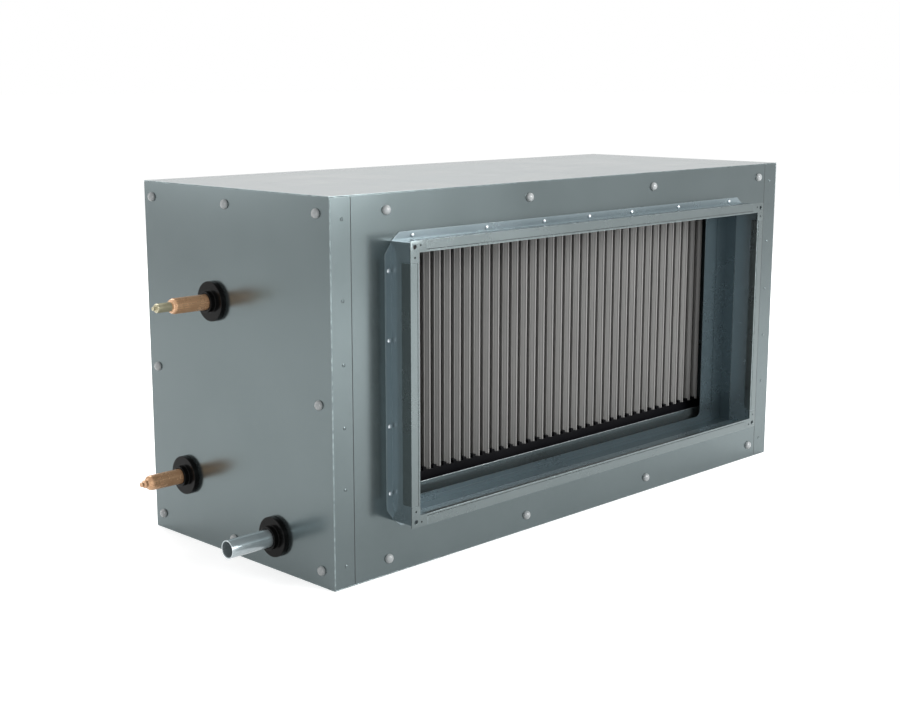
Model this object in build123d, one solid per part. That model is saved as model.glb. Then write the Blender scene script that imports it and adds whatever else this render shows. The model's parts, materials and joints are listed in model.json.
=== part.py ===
from build123d import *
import math
import os

# Direct expansion coil in an insulated duct casing, in millimetres.
# The origin is the centre of the casing's underside, +Z is up.
# The droplet eliminator looks out of the front, towards -Y, and the pipes leave the end at -X.

# Duct and casing
duct_width = 1000.0
duct_height = 450.0
beside_duct = 148.0
under_duct = 112.5
over_duct = 97.5
casing_depth = 522.0
sheet = 1.5
seam_gap = 0.3
running_clearance = 0.3

# Folds of the casing's panels
post_front_leg = 45.0
post_end_leg = 40.0
tray_fold = 45.0
insulation = 25.0

# Duct spigots
spigot_reach = 53.0
spigot_step = 15.0
spigot_entry = 10.0
lip_width = 15.0
lip_end_cut = 20.0
profile_face = 20.0
profile_depth = 24.0
profile_lip = 8.0
profile_groove_place = 3.5
profile_groove = 1.2
profile_groove_depth = 0.8
corner_leg = 37.0
corner_tongue = 25.0
corner_tongue_thickness = 4.0
duct_bolt_hole = 8.5
duct_bolt_inset = 10.0

# Collars and windows inside the casing
collar_depth = 36.0
collar_side_fold = 34.0
collar_end_fold = 8.0
window_side_cover = 61.0
window_end_cover = -1.5
window_corner_radius = 13.0
window_overlap = 25.0

# Screws with dome caps
cap_diameter = 17.0
cap_height = 7.0
screw_inset_top = 29.0
screw_inset_bottom = 29.0
face_screws_from_pipe_end = (123.0, 478.0)
face_screws_from_blind_end = (70.0, 447.0)
end_screw_inset_front = 33.0
end_screw_inset_rear = 24.0
end_screw_middle_shift = 16.0
end_screw_middle_height = 315.0
cap_side_count = 8
cap_taper_angle = 30.0

# Coil block: inline tubes, three rows deep, two tubes high in each circuit
# The tubes and their bends are drawn with flats, because there are many of them
tube_diameter = 16.0
tube_side_count = 6
tube_bore_clearance = 0.3
tube_pitch_high = 60.0
tube_pitch_deep = 49.0
rows_deep = 3
rows_per_circuit = 2
bend_steps = 5
first_row_depth = 317.0
fin_edge = 22.0
fin_overlap = 15.0
fin_slot_pitch = 80.0
fin_slot_width = 5.0
fin_slot_depth = 5.0
tube_sheet_fold = 20.0
tube_end_reach = 18.0
bend_socket = 4.0
coil_plate_overhang = 3.0

# Refrigerant pipes
connection_diameter = 28.0
passage_step = 0.5
connection_gap = 1.0
liquid_height = 458.0
liquid_reach = 92.0
liquid_shoulder = 6.0
liquid_shoulder_run = 2.0
liquid_shoulder_drop = 1.5
brass_diameter = 16.6
brass_reach = 121.5
brass_tip_diameter = 6.5
brass_tip_reach = 128.0
suction_height = 122.0
suction_reach = 89.0
suction_shoulder = 4.0
suction_neck_diameter = 15.0
suction_neck_reach = 96.0
suction_tip_diameter = 9.5
suction_tip_reach = 102.5
header_diameter = 35.0
header_clearance = 3.0
header_end = 20.0
distributor_diameter = 34.0
distributor_length = 18.0
distributor_socket = 6.0
distributor_side_count = 6
capillary_diameter = 5.0
capillary_side_count = 6
capillary_bend = 4.0
capillary_clearance = 1.5
capillary_port_spacing = 7.0
capillary_lane_spacing = 7.0

# Drip tray and drain
drain_diameter = 32.0
drain_wall = 2.0
drain_depth = 156.0
drain_height = 62.0
drain_reach = 104.6
tray_front_depth = 60.0
tray_front_height = 129.0
tray_hem = 16.0
tray_rear_depth = 460.0
tray_rear_height = 100.0
tray_fall_front = 4.0
tray_fall_rear = 14.0
tray_end_gap = 36.0
support_rail_width = 30.0
support_rail_inset = 120.0

# Grommets round the pipes
grommet_diameter = 72.0
grommet_thickness = 10.0
grommet_neck_wall = 5.0
grommet_neck_reach = 20.0
grommet_hole_room = 3.0

# Droplet eliminator
blade_pitch = 26.0
blade_sheet = 1.3
blade_front_depth = 75.0
blade_depth = 48.0
blade_wave = 14.0
blade_hook = 4.0
blade_bottom = 141.0
comb_height = 28.0
comb_tooth = 6.0
comb_tooth_width = 8.0
comb_tooth_depth = 12.0
comb_tooth_shift = 3.0
comb_margin = 2.0
cassette_half_length = 500.0
side_channel_thickness = 12.0

# Places that follow from the sizes above
casing_length = duct_width + 2 * beside_duct
casing_height = under_duct + duct_height + over_duct
duct_axis_height = under_duct + duct_height / 2
half_length = casing_length / 2
half_depth = casing_depth / 2
face_front = -half_depth
duct_half_width = duct_width / 2
duct_half_height = duct_height / 2
wall_half_width = duct_half_width + spigot_step
wall_half_height = duct_half_height + spigot_step
flange_face = face_front - spigot_reach
duct_low = under_duct
duct_high = duct_axis_height + duct_half_height
row_depths = [face_front + first_row_depth + tube_pitch_deep * row for row in range(rows_deep)]
fin_front = row_depths[0] - fin_edge
fin_rear = row_depths[-1] + fin_edge
fin_half_length = duct_half_width + fin_overlap
circuits = int(duct_height // (rows_per_circuit * tube_pitch_high))
tube_rows = circuits * rows_per_circuit
first_tube = duct_axis_height - tube_pitch_high * (tube_rows - 1) / 2
tube_heights = [first_tube + tube_pitch_high * row for row in range(tube_rows)]
tube_sheet_outside = fin_half_length + sheet
tube_end = -(tube_sheet_outside + tube_end_reach)
bend_reach = tube_end - bend_socket - (tube_pitch_deep + tube_diameter) / 2
blade_front = face_front + blade_front_depth
blade_rear = blade_front + blade_depth
blade_top = duct_high
tray_half_length = half_length - tray_end_gap
valley_y = face_front + drain_depth
tray_front = face_front + tray_front_depth
tray_rear = face_front + tray_rear_depth
valley_top = drain_height - drain_diameter / 2
inner_floor = sheet + insulation
connection_start = -half_length - grommet_neck_reach - connection_gap


# General helpers

def slab(x0, x1, y0, y1, z0, z1):
    """A block between two corners."""
    centre = ((x0 + x1) / 2, (y0 + y1) / 2, (z0 + z1) / 2)
    return Pos(*centre) * Box(x1 - x0, y1 - y0, z1 - z0)


def rod(x0, x1, y, z, diameter):
    """A round bar along X."""
    return Pos((x0 + x1) / 2, y, z) * Rot(0, 90, 0) * Cylinder(diameter / 2, abs(x1 - x0))


def turned(points, y, z):
    """A turned piece about an axis along X; each point is (x, radius)."""
    outline = Polyline(*[(x, radius) for x, radius in points], close=True)
    return Pos(0, y, z) * revolve(make_face(outline), Axis.X)


def folded(points, thickness, side=Side.LEFT):
    """The section of a folded sheet, from the line of one of its faces."""
    line = Polyline(*points)
    return make_face(offset(line, amount=thickness, side=side, kind=Kind.INTERSECTION))


def opposite(piece):
    """The same piece on the rear of the casing."""
    return mirror(piece, about=Plane.XZ)


def other_end(piece):
    """The same piece at the blind end."""
    return mirror(piece, about=Plane.YZ)


def save(name, piece):
    """Write one named sub-part; a list becomes a group of separate solids."""
    solids = piece if isinstance(piece, list) else [piece]
    loose = [solid for item in solids for solid in item.solids()]
    export_step(Compound(loose) if len(loose) > 1 else loose[0], f"parts/{name}.step")


# Casing

def tray_panel(under_side):
    """A flat panel with four folds behind the faces: the top, or the bottom turned over."""
    fold_y = half_depth - sheet
    fold_x = half_length - 2 * sheet
    post_clear = half_depth - post_end_leg - sheet - seam_gap
    plate = slab(-half_length, half_length, -half_depth, half_depth, 0, sheet)
    front_fold = slab(-fold_x, fold_x, -fold_y, sheet - fold_y, sheet, tray_fold)
    end_fold = slab(-fold_x, sheet - fold_x, -post_clear, post_clear, sheet, tray_fold)
    pan = plate + front_fold + opposite(front_fold) + end_fold + other_end(end_fold)
    if under_side:
        return pan - passage_bores(sheet)
    return Pos(0, 0, casing_height) * Rot(180, 0, 0) * pan


def end_panel():
    """The whole pipe-end face; its edges cover the corner posts."""
    return slab(-half_length, sheet - half_length, -half_depth, half_depth,
                sheet + seam_gap, casing_height - sheet - seam_gap)


def passage_bores(depth):
    """A hole for each pipe, from outside the casing to a depth behind the panel."""
    room = 2 * grommet_hole_room
    return [rod(-half_length - sheet, 2 * sheet + depth - half_length, y, z, diameter + room)
            for y, z, diameter in pipe_passages()]


def pipe_end_panel():
    return end_panel() - passage_bores(0)


def duct_face():
    """A face panel between the corner posts, with the hole for its spigot."""
    reach = half_length - post_front_leg - seam_gap
    hole_x = wall_half_width + sheet + seam_gap
    hole_z = wall_half_height + sheet + seam_gap
    panel = slab(-reach, reach, face_front, face_front + sheet,
                 sheet + seam_gap, casing_height - sheet - seam_gap)
    return panel - slab(-hole_x, hole_x, face_front - sheet, face_front + 2 * sheet,
                        duct_axis_height - hole_z, duct_axis_height + hole_z)


def corner_post():
    """The angle at the front corner of the pipe end."""
    corner = sheet - half_length
    line = ((corner + post_front_leg - sheet, face_front),
            (corner, face_front),
            (corner, face_front + post_end_leg))
    section = Plane.XY * folded(line, sheet, Side.LEFT if folds_left(line) else Side.RIGHT)
    low = sheet + seam_gap
    return Pos(0, 0, low) * extrude(section, casing_height - 2 * low)


def folds_left(line):
    """Whether a line of three points turns to the left."""
    (ax, ay), (bx, by), (cx, cy) = line
    return (bx - ax) * (cy - by) - (by - ay) * (cx - bx) > 0


# Insulation

def insulation_slab():
    """The mat under the top panel, inside its folds; the bottom mat is the same."""
    reach_x = half_length - 3 * sheet - seam_gap
    reach_y = half_depth - 2 * sheet - seam_gap
    return slab(-reach_x, reach_x, -reach_y, reach_y, sheet, inner_floor)


def insulation_end():
    """The mat behind the pipe-end panel."""
    x = 3 * sheet + seam_gap - half_length
    y = half_depth - 2 * sheet - seam_gap
    return slab(x, x + insulation, -y, y, inner_floor, casing_height - inner_floor)


def insulation_pipe_end():
    """The mat with a square hole cut for each pipe."""
    mat = insulation_end()
    for y, z, diameter in pipe_passages():
        reach = diameter / 2 + grommet_hole_room
        mat -= slab(-half_length, 2 * insulation - half_length, y - reach, y + reach, z - reach, z + reach)
    return mat


def insulation_face():
    """The frame of mat between a face panel and its window frame."""
    reach_x = half_length - 3 * sheet - insulation - 2 * seam_gap
    hole_x = wall_half_width + sheet + seam_gap
    hole_z = wall_half_height + sheet + seam_gap
    near = face_front + 2 * sheet + seam_gap
    far = face_front + collar_depth
    mat = slab(-reach_x, reach_x, near, far, inner_floor, casing_height - inner_floor)
    return mat - slab(-hole_x, hole_x, near - sheet, far + sheet,
                      duct_axis_height - hole_z, duct_axis_height + hole_z)


# Collars and windows

def collar():
    """The ring that lines the duct hole, with its rear edge folded inwards."""
    near = face_front + spigot_entry + seam_gap
    far = face_front + collar_depth
    outer_x = wall_half_width + sheet
    outer_z = wall_half_height + sheet
    inner_x = wall_half_width - collar_side_fold
    inner_z = wall_half_height - collar_end_fold
    ring = centred_slab(outer_x, outer_z, near, far)
    ring -= centred_slab(wall_half_width, wall_half_height, near - sheet, far - sheet)
    return ring - centred_slab(inner_x, inner_z, near - sheet, far + sheet)


def centred_slab(reach_x, reach_z, y0, y1):
    """A block centred on the duct's axis."""
    return slab(-reach_x, reach_x, y0, y1, duct_axis_height - reach_z, duct_axis_height + reach_z)


def window_frame():
    """The plate behind the collar, with a round-cornered window."""
    near = face_front + collar_depth
    outer_x = wall_half_width + window_overlap
    outer_z = wall_half_height + window_overlap
    window_x = duct_half_width - window_side_cover
    window_z = duct_half_height + window_end_cover
    plate = centred_slab(outer_x, outer_z, near, near + sheet)
    window = centred_slab(window_x, window_z, near - sheet, near + 2 * sheet)
    window = fillet(window.edges().filter_by(Axis.Y), window_corner_radius)
    return plate - window


# Spigots and their duct flanges

def spigot_wall(half_span, distance):
    """A spigot wall that lies flat at the given distance above the duct axis.

    Its lip stands on the face panel, a closed hem with cut corners."""
    front = flange_face + sheet + seam_gap
    wall = slab(-half_span, half_span, front, face_front + spigot_entry, distance, distance + sheet)
    lip_line = Polyline((-half_span, distance), (half_span, distance),
                        (half_span - lip_end_cut, distance + lip_width),
                        (lip_end_cut - half_span, distance + lip_width), close=True)
    lip = Plane.XZ.offset(-face_front) * make_face(lip_line)
    return wall + extrude(lip, sheet)


def about_duct(piece, angle):
    """Turn a piece about the duct's axis, from above the axis to its place."""
    return Pos(0, 0, duct_axis_height) * Rot(0, angle, 0) * piece


def profile_section(distance):
    """The section of the duct flange profile, above the duct's axis, in (y, z).

    A grooved face, an inner lip, and a channel that grips the spigot wall."""
    face = flange_face
    grip = distance + spigot_step
    leg_end = face + profile_depth
    inner_leg = grip - seam_gap - sheet
    outer_leg = grip + sheet + seam_gap
    section = rectangle(face, face + sheet, distance, distance + profile_face)
    section += rectangle(face, face + profile_lip, distance, distance + sheet)
    section += rectangle(face, leg_end, inner_leg, inner_leg + sheet)
    section += rectangle(face, leg_end, outer_leg, outer_leg + sheet)
    groove = distance + profile_groove_place
    return section - rectangle(face, face + profile_groove_depth, groove, groove + profile_groove)


def rectangle(x0, x1, y0, y1):
    """A rectangle between two corners of the drawing plane."""
    return Pos((x0 + x1) / 2, (y0 + y1) / 2) * Rectangle(x1 - x0, y1 - y0)


def flange_profile(half_span, distance):
    """One length of flange profile, between its corner pieces."""
    reach = half_span + profile_face - corner_leg - seam_gap
    section = Plane.YZ.offset(-reach) * profile_section(distance)
    return extrude(section, 2 * reach)


def flange_profiles():
    """Four lengths of profile round the duct opening."""
    long_side = flange_profile(duct_half_width, duct_half_height)
    short_side = flange_profile(duct_half_height, duct_half_width)
    return [about_duct(long_side, 0), about_duct(short_side, 90),
            about_duct(long_side, 180), about_duct(short_side, 270)]


def flange_corner():
    """The corner piece at the top right, with its bolt hole and a tongue into each profile."""
    outer_x = duct_half_width + profile_face
    outer_z = duct_half_height + profile_face
    near = flange_face + sheet
    far = near + corner_tongue_thickness
    tongue_low = sheet + seam_gap
    tongue_high = spigot_step - 2 * seam_gap - sheet
    tongue_end = corner_leg + corner_tongue
    plate = slab(outer_x - corner_leg, outer_x, flange_face, near, outer_z - corner_leg, outer_z)
    plate -= slab(outer_x - 2 * corner_leg, outer_x - profile_face, flange_face - sheet, far,
                  outer_z - 2 * corner_leg, outer_z - profile_face)
    bolt = Pos(outer_x - duct_bolt_inset, flange_face, outer_z - duct_bolt_inset)
    plate -= bolt * Rot(90, 0, 0) * Cylinder(duct_bolt_hole / 2, 2 * corner_tongue_thickness)
    along = slab(outer_x - tongue_end, outer_x - profile_face, near, far,
                 duct_half_height + tongue_low, duct_half_height + tongue_high)
    down = slab(duct_half_width + tongue_low, duct_half_width + tongue_high, near, far,
                outer_z - tongue_end, outer_z - profile_face)
    return plate + along + down


def flange_corners():
    right_top = flange_corner()
    left_top = other_end(right_top)
    corners = [right_top, left_top, mirror(right_top, about=Plane.XY), mirror(left_top, about=Plane.XY)]
    return [Pos(0, 0, duct_axis_height) * corner for corner in corners]


# Screws

def dome_cap():
    """A plastic cap that snaps over a screw head, standing on +Z, with a few flats."""
    return extrude(RegularPolygon(cap_diameter / 2, cap_side_count), cap_height, taper=cap_taper_angle)


def on_face(piece, x, z):
    """Stand a fastener on the front face."""
    return Pos(x, face_front, z) * Rot(90, 0, 0) * piece


def on_end(piece, y, z):
    """Stand a fastener on the pipe-end face."""
    return Pos(-half_length, y, z) * Rot(0, -90, 0) * piece


def face_screws():
    places = [-half_length + from_end for from_end in face_screws_from_pipe_end]
    places += [half_length - from_end for from_end in face_screws_from_blind_end]
    heights = (screw_inset_bottom, casing_height - screw_inset_top)
    return [on_face(dome_cap(), x, z) for x in places for z in heights]


def end_screws():
    front = -half_depth + end_screw_inset_front
    rear = half_depth - end_screw_inset_rear
    heights = (screw_inset_bottom, casing_height - screw_inset_top)
    places = [(y, z) for y in (front, end_screw_middle_shift, rear) for z in heights]
    places += [(front, end_screw_middle_height), (rear, end_screw_middle_height)]
    return [on_end(dome_cap(), y, z) for y, z in places]


# Coil block

def tube_places(clearance):
    """The tubes' section at every tube place of the coil, grown by a clearance."""
    section = RegularPolygon(tube_diameter / 2 + clearance, tube_side_count)
    return [Pos(y, z) * section for y in row_depths for z in tube_heights]


def fin_pack():
    """The block of pressed fins, scored front and rear, with a bore for every tube."""
    pack = slab(-fin_half_length, fin_half_length, fin_front, fin_rear, duct_low, duct_high)
    slots = int((2 * fin_half_length - fin_slot_width) // fin_slot_pitch)
    first_slot = -fin_slot_pitch * (slots - 1) / 2
    slot = Rectangle(fin_slot_width, 2 * fin_slot_depth)
    score = [Pos(first_slot + fin_slot_pitch * step, y) * slot
             for step in range(slots) for y in (fin_front, fin_rear)]
    pack -= Pos(0, 0, duct_low) * extrude(Sketch() + score, duct_high - duct_low)
    bores = Plane.YZ.offset(-fin_half_length) * (Sketch() + tube_places(tube_bore_clearance))
    return pack - extrude(bores, 2 * fin_half_length)


def tube_sheet():
    """The end plate of the coil at the pipe end, with stiffening folds front and rear."""
    x = -fin_half_length
    low = duct_low - coil_plate_overhang
    high = duct_high + coil_plate_overhang
    plate = slab(x - sheet, x, fin_front - sheet, fin_rear + sheet, low, high)
    fold = slab(x - tube_sheet_fold, x, fin_front - sheet, fin_front, low, high)
    fold += slab(x - tube_sheet_fold, x, fin_rear, fin_rear + sheet, low, high)
    bores = Plane.YZ.offset(x - sheet) * (Sketch() + tube_places(tube_bore_clearance))
    return plate + fold - extrude(bores, sheet)


def coil_channel(web, front_end, rear_end, side):
    """The channel that closes the coil above or below, from its web to its leg ends."""
    line = ((fin_front, front_end), (fin_front, web), (fin_rear, web), (fin_rear, rear_end))
    section = Plane.YZ.offset(-fin_half_length) * folded(line, sheet, side)
    return extrude(section, 2 * fin_half_length)


def half_turn(spacing, leg):
    """Points of a half ring from (leg, 0) to (leg, spacing), bulging towards +X."""
    radius = spacing / 2
    angles = [math.pi * step / bend_steps for step in range(bend_steps + 1)]
    return [(leg + radius * math.sin(angle), radius - radius * math.cos(angle)) for angle in angles]


def hairpin():
    """A tube that runs the coil's length, turns, and comes back one tube higher."""
    turn = tube_sheet_outside + running_clearance
    bend = [(reach, 0, rise) for reach, rise in half_turn(tube_pitch_high, turn)]
    path = Polyline((tube_end, 0, 0), *bend, (tube_end, 0, tube_pitch_high))
    section = Plane.YZ.offset(tube_end) * RegularPolygon(tube_diameter / 2, tube_side_count)
    return sweep(section, path=path, transition=Transition.RIGHT)


def hairpin_tubes():
    """The two tubes of each circuit in each row are one hairpin."""
    pin = hairpin()
    return [Pos(0, y, z) * pin for y in row_depths for z in tube_heights[::rows_per_circuit]]


def return_bend():
    """A half ring with short sockets that joins a tube end to the one in the next row."""
    bend = [(-reach, across, 0) for reach, across in half_turn(tube_pitch_deep, bend_socket)]
    path = Polyline((0, 0, 0), *bend, (0, tube_pitch_deep, 0))
    section = -Plane.YZ * RegularPolygon(tube_diameter / 2, tube_side_count)
    return sweep(section, path=path, transition=Transition.RIGHT)


def return_bends():
    """The bends at the pipe end, by turns at the lower and the upper tube of a circuit."""
    bend = return_bend()
    places = [(row_depths[row], tube_heights[circuit * rows_per_circuit + row % rows_per_circuit])
              for circuit in range(circuits) for row in range(rows_deep - 1)]
    return [Pos(tube_end, y, z) * bend for y, z in places]


# Refrigerant pipes

def pipe_passages():
    """Depth, height and diameter of each pipe where it leaves the pipe end: liquid, gas and drain.

    Outside the grommet's neck each one is a step thicker, and takes its fitting there."""
    return ((row_depths[0], liquid_height, connection_diameter - 2 * passage_step),
            (row_depths[-1], suction_height, connection_diameter - 2 * passage_step),
            (valley_y, drain_height, drain_diameter - 2 * passage_step))


def inlet_heights():
    """Each circuit is fed at its top tube in the front row."""
    return tube_heights[rows_per_circuit - 1::rows_per_circuit]


def outlet_heights():
    """Each circuit leaves at its lowest tube in the rear row."""
    return tube_heights[::rows_per_circuit]


def capillary_lane(number):
    """Which lane a capillary turns in; the outermost ports turn first, so that no two cross."""
    return number if inlet_heights()[number] < liquid_height else circuits - 1 - number


def distributor_face():
    lanes = 1 + max(capillary_lane(number) for number in range(circuits))
    return bend_reach - capillary_clearance - capillary_diameter / 2 - lanes * capillary_lane_spacing


def liquid_pipe():
    """The capped copper stub that feeds the distributor."""
    radius = connection_diameter / 2
    passing = radius - passage_step
    end = -half_length - liquid_reach
    inner = distributor_face() - distributor_length - distributor_socket
    brass = brass_diameter / 2 + running_clearance
    return turned(((inner, 0), (inner, passing), (connection_start, passing),
                   (connection_start, radius), (end + liquid_shoulder, radius),
                   (end + liquid_shoulder_run, radius - liquid_shoulder_drop),
                   (end, brass), (end, 0)), row_depths[0], liquid_height)


def liquid_cap():
    """The brass stub and its sealed tip on the end of the liquid pipe."""
    start = -half_length - liquid_reach
    step = -half_length - brass_reach
    tip = -half_length - brass_tip_reach
    return turned(((start, 0), (start, brass_diameter / 2), (step, brass_diameter / 2),
                   (step, brass_tip_diameter / 2), (tip, brass_tip_diameter / 2), (tip, 0)),
                  row_depths[0], liquid_height)


def distributor():
    """The brass body that shares the liquid between the capillary tubes, with the pipe's socket."""
    face = distributor_face()
    body = Plane.YZ * RegularPolygon(distributor_diameter / 2, distributor_side_count)
    socket = Plane.YZ * RegularPolygon(connection_diameter / 2, distributor_side_count)
    centre = Pos(face - distributor_length, row_depths[0], liquid_height)
    return centre * (extrude(body, distributor_length) + extrude(socket, -distributor_socket))


def capillary_tubes():
    """One thin tube from the distributor's face to each circuit's inlet."""
    face = distributor_face()
    section = Plane.YZ * RegularPolygon(capillary_diameter / 2, capillary_side_count)
    tubes = []
    for number, height in enumerate(inlet_heights()):
        port = liquid_height + capillary_port_spacing * (number - (circuits - 1) / 2)
        lane = face + capillary_lane_spacing * (1 + capillary_lane(number))
        step = math.copysign(capillary_bend, height - port)
        path = Polyline((face, port), (lane - capillary_bend, port), (lane, port + step),
                        (lane, height - step), (lane + capillary_bend, height), (tube_end, height))
        if abs(height - port) < 2 * capillary_bend:
            path = Line((face, port), (tube_end, height))
        start = Pos(face, row_depths[0], port) * section
        tubes.append(sweep(start, path=upright(path), transition=Transition.RIGHT))
    return tubes


def upright(path):
    """Stand a path drawn in (x, z) in the plane of the front row."""
    return Pos(0, row_depths[0], 0) * Rot(90, 0, 0) * path


def header_axis():
    return bend_reach - header_clearance - header_diameter / 2


def suction_header():
    """The upright pipe that collects the gas, with a stub from each circuit."""
    low = min(outlet_heights()[0], suction_height) - header_end
    high = outlet_heights()[-1] + header_end
    body = Pos(header_axis(), row_depths[-1], (low + high) / 2) * Cylinder(header_diameter / 2, high - low)
    stub = extrude(Plane.YZ * RegularPolygon(tube_diameter / 2, tube_side_count), tube_end - header_axis())
    return body + [Pos(header_axis(), row_depths[-1], z) * stub for z in outlet_heights()]


def suction_pipe():
    """The gas connection, with its closed, stepped end."""
    radius = connection_diameter / 2
    passing = radius - passage_step
    end = -half_length - suction_reach
    neck_end = -half_length - suction_neck_reach
    tip_end = -half_length - suction_tip_reach
    neck = suction_neck_diameter / 2
    tip = suction_tip_diameter / 2
    pipe = turned(((header_axis(), 0), (header_axis(), passing), (connection_start, passing),
                   (connection_start, radius), (end + suction_shoulder, radius),
                   (end, neck), (neck_end, neck), (neck_end, tip), (tip_end, tip), (tip_end, 0)),
                  row_depths[-1], suction_height)
    saddle = Cylinder(header_diameter / 2 + running_clearance, casing_height)
    return pipe - Pos(header_axis(), row_depths[-1], suction_height) * saddle


def grommet(y, z, pipe_diameter):
    """A rubber disc with a neck, which seals a pipe at the panel."""
    bore = pipe_diameter / 2 + running_clearance
    rim = grommet_diameter / 2
    neck = pipe_diameter / 2 + grommet_neck_wall
    face = -half_length
    return turned(((face - grommet_neck_reach, bore), (face - grommet_neck_reach, neck),
                   (face - grommet_thickness, neck), (face - grommet_thickness, rim),
                   (face, rim), (face, bore)), y, z)


def pipe_grommets():
    return [grommet(y, z, diameter) for y, z, diameter in pipe_passages()]


# Drip tray, drain and supports

def tray_floor(y):
    """Height of the tray's upper surface at a depth."""
    if y < valley_y:
        return valley_top + tray_fall_front * (valley_y - y) / (valley_y - tray_front)
    return valley_top + tray_fall_rear * (y - valley_y) / (tray_rear - valley_y)


def tray_line():
    """The tray's inner line, from the front lip over the valley to the rear lip."""
    return ((tray_front, tray_front_height), (tray_front, tray_floor(tray_front)),
            (valley_y, valley_top), (tray_rear, tray_floor(tray_rear)), (tray_rear, tray_rear_height))


def drip_tray():
    """A folded tray that falls to its drain; the front lip ends in a hem."""
    start = Plane.YZ.offset(-tray_half_length)
    tray = extrude(start * folded(tray_line(), sheet, Side.RIGHT), 2 * tray_half_length)
    hem = slab(-tray_half_length, tray_half_length, tray_front - 2 * sheet, tray_front - sheet,
               tray_front_height - tray_hem, tray_front_height)
    end_outline = Polyline(*tray_line()[1:4], (tray_rear, tray_rear_height),
                           (tray_front, tray_rear_height), close=True)
    end = extrude(start * make_face(end_outline), sheet)
    tray = tray + hem + end + other_end(end)
    hole = drain_diameter - 2 * passage_step + 2 * running_clearance
    return tray - rod(-tray_half_length - sheet, 2 * sheet - tray_half_length, valley_y, drain_height, hole)


def drain_pipe():
    """The open galvanised pipe that empties the tray."""
    mouth = -half_length - drain_reach
    inner = sheet - tray_half_length
    outside = rod(mouth, connection_start, valley_y, drain_height, drain_diameter)
    passing = rod(connection_start, inner, valley_y, drain_height, drain_diameter - 2 * passage_step)
    bore = rod(mouth, inner, valley_y, drain_height, drain_diameter - 2 * drain_wall)
    return outside + passing - bore


def support_rails():
    """Two hat rails across the floor that carry the tray."""
    underside = [(y, z - sheet - seam_gap) for y, z in tray_line()[1:4]]
    outline = Polyline((tray_front, inner_floor), *underside, (tray_rear, inner_floor), close=True)
    x = tray_half_length - support_rail_inset
    rail = extrude(Plane.YZ.offset(-x) * make_face(outline), support_rail_width)
    return [rail, other_end(rail)]


# Droplet eliminator

def blade_line():
    """The wave of a blade from its front edge to its rear edge, in (x, y)."""
    half_wave = blade_wave / 2
    return ((0, blade_front), (-half_wave, blade_front + blade_depth / 3),
            (half_wave, blade_front + 2 * blade_depth / 3), (0, blade_rear))


def blade_section():
    """A waved strip with a drip hook outside each crest, open to the front."""
    wave = folded(blade_line(), blade_sheet)
    for (x, y), side in zip(blade_line()[1:3], (-1, 1)):
        tip = x + side * blade_hook
        hook = Polyline((x, y), (tip, y - blade_hook), (tip, y - blade_hook + blade_sheet),
                        (x, y + blade_sheet), close=True)
        wave += make_face(hook)
    return wave


def blade_places():
    count = int((2 * cassette_half_length - blade_pitch) // blade_pitch) + 1
    first = -blade_pitch * (count - 1) / 2
    return [first + blade_pitch * number for number in range(count)]


def eliminator_blades():
    blade = Pos(0, 0, blade_bottom) * extrude(blade_section(), blade_top - blade_bottom)
    return [Pos(x, 0, 0) * blade for x in blade_places()]


def comb():
    """The toothed bar under the blades, with a tooth between each pair of blades."""
    low = blade_bottom - comb_height
    bar = slab(-cassette_half_length, cassette_half_length, blade_front - comb_margin,
               blade_rear + comb_margin, low, blade_bottom)
    teeth = []
    for x in blade_places()[:-1]:
        middle = x + blade_pitch / 2 - comb_tooth_shift
        teeth.append(slab(middle - comb_tooth_width / 2, middle + comb_tooth_width / 2,
                          blade_front - comb_margin, blade_front + comb_tooth_depth,
                          blade_bottom, blade_bottom + comb_tooth))
    return bar + teeth


def bottom_comb():
    return comb()


def top_comb():
    return mirror(comb(), about=Plane.XY.offset((blade_bottom + blade_top) / 2))


def side_channel():
    """The upright that carries the combs at the pipe end, standing in the tray."""
    x = -cassette_half_length
    front = blade_front - comb_margin
    rear = blade_rear + comb_margin
    top = blade_top + comb_height
    floor = [(y, tray_floor(y)) for y in (front, min(rear, valley_y), rear)]
    feet = floor if rear > valley_y else floor[::2]
    outline = Polyline((front, top), *feet, (rear, top), close=True)
    return extrude(Plane.YZ.offset(x - side_channel_thickness) * make_face(outline), side_channel_thickness)


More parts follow.
